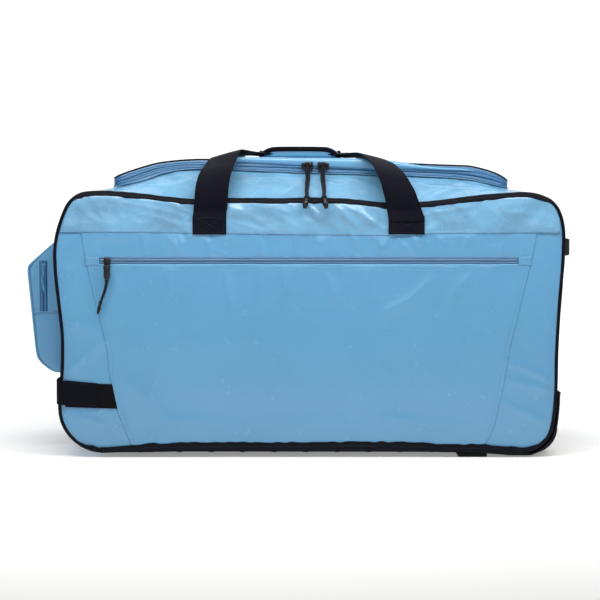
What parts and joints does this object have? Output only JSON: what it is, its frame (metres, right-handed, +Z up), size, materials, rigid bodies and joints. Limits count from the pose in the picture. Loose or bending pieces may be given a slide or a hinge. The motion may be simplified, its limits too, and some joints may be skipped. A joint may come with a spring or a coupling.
{
  "type": "rolling sports bag",
  "caption": "Wheeled soft sports bag with a zipped arched lid, flat front pocket, bellows end pocket, webbing carry handles with a wrap, and a telescopic trolley handle.",
  "frame": {"origin": "on the floor under the middle of the bag's overall box", "axes": "+Z up, X along the bag with the wheels at +X and the end pocket at -X, -Y is the front with the flat pocket"},
  "size_m": [0.844, 0.3882, 0.4775],
  "materials": {
    "tarpaulin": "glossy coated tarpaulin",
    "piping": "satin extruded piping",
    "webbing": "woven polyester webbing",
    "zip_tape": "coated zip tape",
    "slider_metal": "dark gunmetal",
    "pull_cord": "cord and moulded tab",
    "moulding": "fine grained moulding",
    "base_board": "extruded sheet",
    "tyre": "matte moulded tyre",
    "axle_steel": "plated steel",
    "tube": "anodised tube"
  },
  "bodies": {
    "shell": {"front_panel": "tarpaulin", "rear_panel": "tarpaulin", "left_end_panel": "tarpaulin", "right_end_panel": "tarpaulin", "top_front_strip": "tarpaulin", "top_rear_strip": "tarpaulin", "front_pocket_panel": "tarpaulin", "end_pocket": "tarpaulin", "front_piping": "piping", "rear_piping": "piping", "end_strap": "webbing", "right_grab_handle": "webbing", "front_strap_foot_left": "webbing", "front_strap_foot_right": "webbing", "rear_strap_foot_left": "webbing", "rear_strap_foot_right": "webbing", "main_zip_lower": "zip_tape", "front_pocket_zip": "zip_tape", "end_pocket_zip": "zip_tape", "base_tray": "moulding", "left_foot_bar": "moulding", "right_foot_bar": "moulding", "front_wheel_housing": "moulding", "rear_wheel_housing": "moulding", "trolley_bezel": "moulding", "base_board": "base_board", "front_axle": "axle_steel", "rear_axle": "axle_steel", "trolley_outer_tube_front": "tube", "trolley_outer_tube_rear": "tube"},
    "lid": {"lid_panel": "tarpaulin", "lid_piping": "piping", "main_zip_upper": "zip_tape"},
    "trolley": {"trolley_inner_tube_front": "tube", "trolley_inner_tube_rear": "tube", "trolley_grip": "moulding"},
    "button": {"release_button": "moulding"},
    "front_legs": {"front_strap_leg_left": "webbing", "front_strap_leg_right": "webbing"},
    "front_shoulders": {"front_strap_shoulder_left": "webbing", "front_strap_shoulder_right": "webbing"},
    "front_handle": {"front_handle_top": "webbing", "handle_wrap": "tarpaulin"},
    "front_wheel": {"front_tyre": "tyre", "front_hub": "moulding"},
    "rear_legs": {"rear_strap_leg_left": "webbing", "rear_strap_leg_right": "webbing"},
    "rear_shoulders": {"rear_strap_shoulder_left": "webbing", "rear_strap_shoulder_right": "webbing"},
    "rear_handle": {"rear_handle_top": "webbing"},
    "rear_wheel": {"rear_tyre": "tyre", "rear_hub": "moulding"},
    "main_slider_left_body": {"main_slider_left": "slider_metal"},
    "main_pull_left_body": {"main_pull_left": "pull_cord"},
    "main_slider_right_body": {"main_slider_right": "slider_metal"},
    "main_pull_right_body": {"main_pull_right": "pull_cord"},
    "front_pocket_slider_body": {"front_pocket_slider": "slider_metal"},
    "front_pocket_pull_body": {"front_pocket_pull": "pull_cord"},
    "end_pocket_slider_body": {"end_pocket_slider": "slider_metal"},
    "end_pocket_pull_body": {"end_pocket_pull": "pull_cord"}
  },
  "joints": [
    {"name": "lid_hinge", "type": "hinge", "parent": "shell", "child": "lid", "pos_m": [0.01, 0.136, 0.442], "axis": [-1, 0, 0], "range_deg": [0, 100]},
    {"name": "front_leg_swing", "type": "hinge", "parent": "shell", "child": "front_legs", "pos_m": [0.01, -0.1816, 0.366], "axis": [1, 0, 0], "range_deg": [0, 60], "deforming": ["front_strap_leg_left", "front_strap_leg_right"]},
    {"name": "front_shoulder_fold", "type": "hinge", "parent": "front_legs", "child": "front_shoulders", "pos_m": [0.01, -0.1632, 0.446], "axis": [1, 0, 0], "range_deg": [0, 140], "deforming": ["front_strap_shoulder_left", "front_strap_shoulder_right"]},
    {"name": "front_handle_lift", "type": "hinge", "parent": "front_shoulders", "child": "front_handle", "pos_m": [0.01, -0.149, 0.458], "axis": [1, 0, 0], "range_deg": [0, 75], "deforming": ["front_handle_top", "handle_wrap"]},
    {"name": "rear_leg_swing", "type": "hinge", "parent": "shell", "child": "rear_legs", "pos_m": [0.01, 0.1816, 0.366], "axis": [-1, 0, 0], "range_deg": [0, 60], "deforming": ["rear_strap_leg_left", "rear_strap_leg_right"]},
    {"name": "rear_shoulder_fold", "type": "hinge", "parent": "rear_legs", "child": "rear_shoulders", "pos_m": [0.01, 0.1632, 0.446], "axis": [-1, 0, 0], "range_deg": [0, 140], "deforming": ["rear_strap_shoulder_left", "rear_strap_shoulder_right"]},
    {"name": "rear_handle_lift", "type": "hinge", "parent": "rear_shoulders", "child": "rear_handle", "pos_m": [0.01, 0.149, 0.458], "axis": [-1, 0, 0], "range_deg": [0, 75], "deforming": ["rear_handle_top"]},
    {"name": "main_zip_left_travel", "type": "slide", "parent": "shell", "child": "main_slider_left_body", "axis": [-0.9996, 0, -0.0275], "range_m": [0, 0.2]},
    {"name": "main_zip_right_travel", "type": "slide", "parent": "shell", "child": "main_slider_right_body", "axis": [0.9996, 0, -0.0275], "range_m": [0, 0.19]},
    {"name": "main_pull_left_swing", "type": "hinge", "parent": "main_slider_left_body", "child": "main_pull_left_body", "pos_m": [0.0045, -0.1415, 0.44225], "axis": [-1, 0, 0], "range_deg": [0, 110]},
    {"name": "main_pull_right_swing", "type": "hinge", "parent": "main_slider_right_body", "child": "main_pull_right_body", "pos_m": [0.0287, -0.1415, 0.44225], "axis": [-1, 0, 0], "range_deg": [0, 110]},
    {"name": "front_pocket_zip_travel", "type": "slide", "parent": "shell", "child": "front_pocket_slider_body", "axis": [1, 0, 0], "range_m": [0, 0.605]},
    {"name": "front_pocket_pull_swing", "type": "hinge", "parent": "front_pocket_slider_body", "child": "front_pocket_pull_body", "pos_m": [-0.295, -0.1886, 0.292], "axis": [-1, 0, 0], "range_deg": [0, 150]},
    {"name": "end_pocket_zip_travel", "type": "slide", "parent": "shell", "child": "end_pocket_slider_body", "axis": [0, 0, -1], "range_m": [0, 0.062]},
    {"name": "end_pocket_pull_swing", "type": "hinge", "parent": "end_pocket_slider_body", "child": "end_pocket_pull_body", "pos_m": [-0.399, -0.1331, 0.285], "axis": [-1, 0, 0], "range_deg": [0, 140]},
    {"name": "front_wheel_spin", "type": "hinge", "parent": "shell", "child": "front_wheel", "pos_m": [0.3475, -0.135, 0.04], "axis": [0, 1, 0], "continuous": true},
    {"name": "rear_wheel_spin", "type": "hinge", "parent": "shell", "child": "rear_wheel", "pos_m": [0.3475, 0.135, 0.04], "axis": [0, 1, 0], "continuous": true},
    {"name": "trolley_handle_slide", "type": "slide", "parent": "shell", "child": "trolley", "axis": [-1, 0, 0], "range_m": [0, 0.36]},
    {"name": "release_button_press", "type": "slide", "parent": "trolley", "child": "button", "axis": [1, 0, 0], "range_m": [0, 0.004], "stiffness_N_per_m": 300}
  ],
  "couplings": [
    {"joint": "front_leg_swing", "follows": "lid_hinge", "ratio": 0.6},
    {"joint": "front_shoulder_fold", "follows": "lid_hinge", "ratio": 1.4},
    {"joint": "rear_leg_swing", "follows": "lid_hinge", "ratio": 0.6},
    {"joint": "rear_shoulder_fold", "follows": "lid_hinge", "ratio": 1.4}
  ]
}
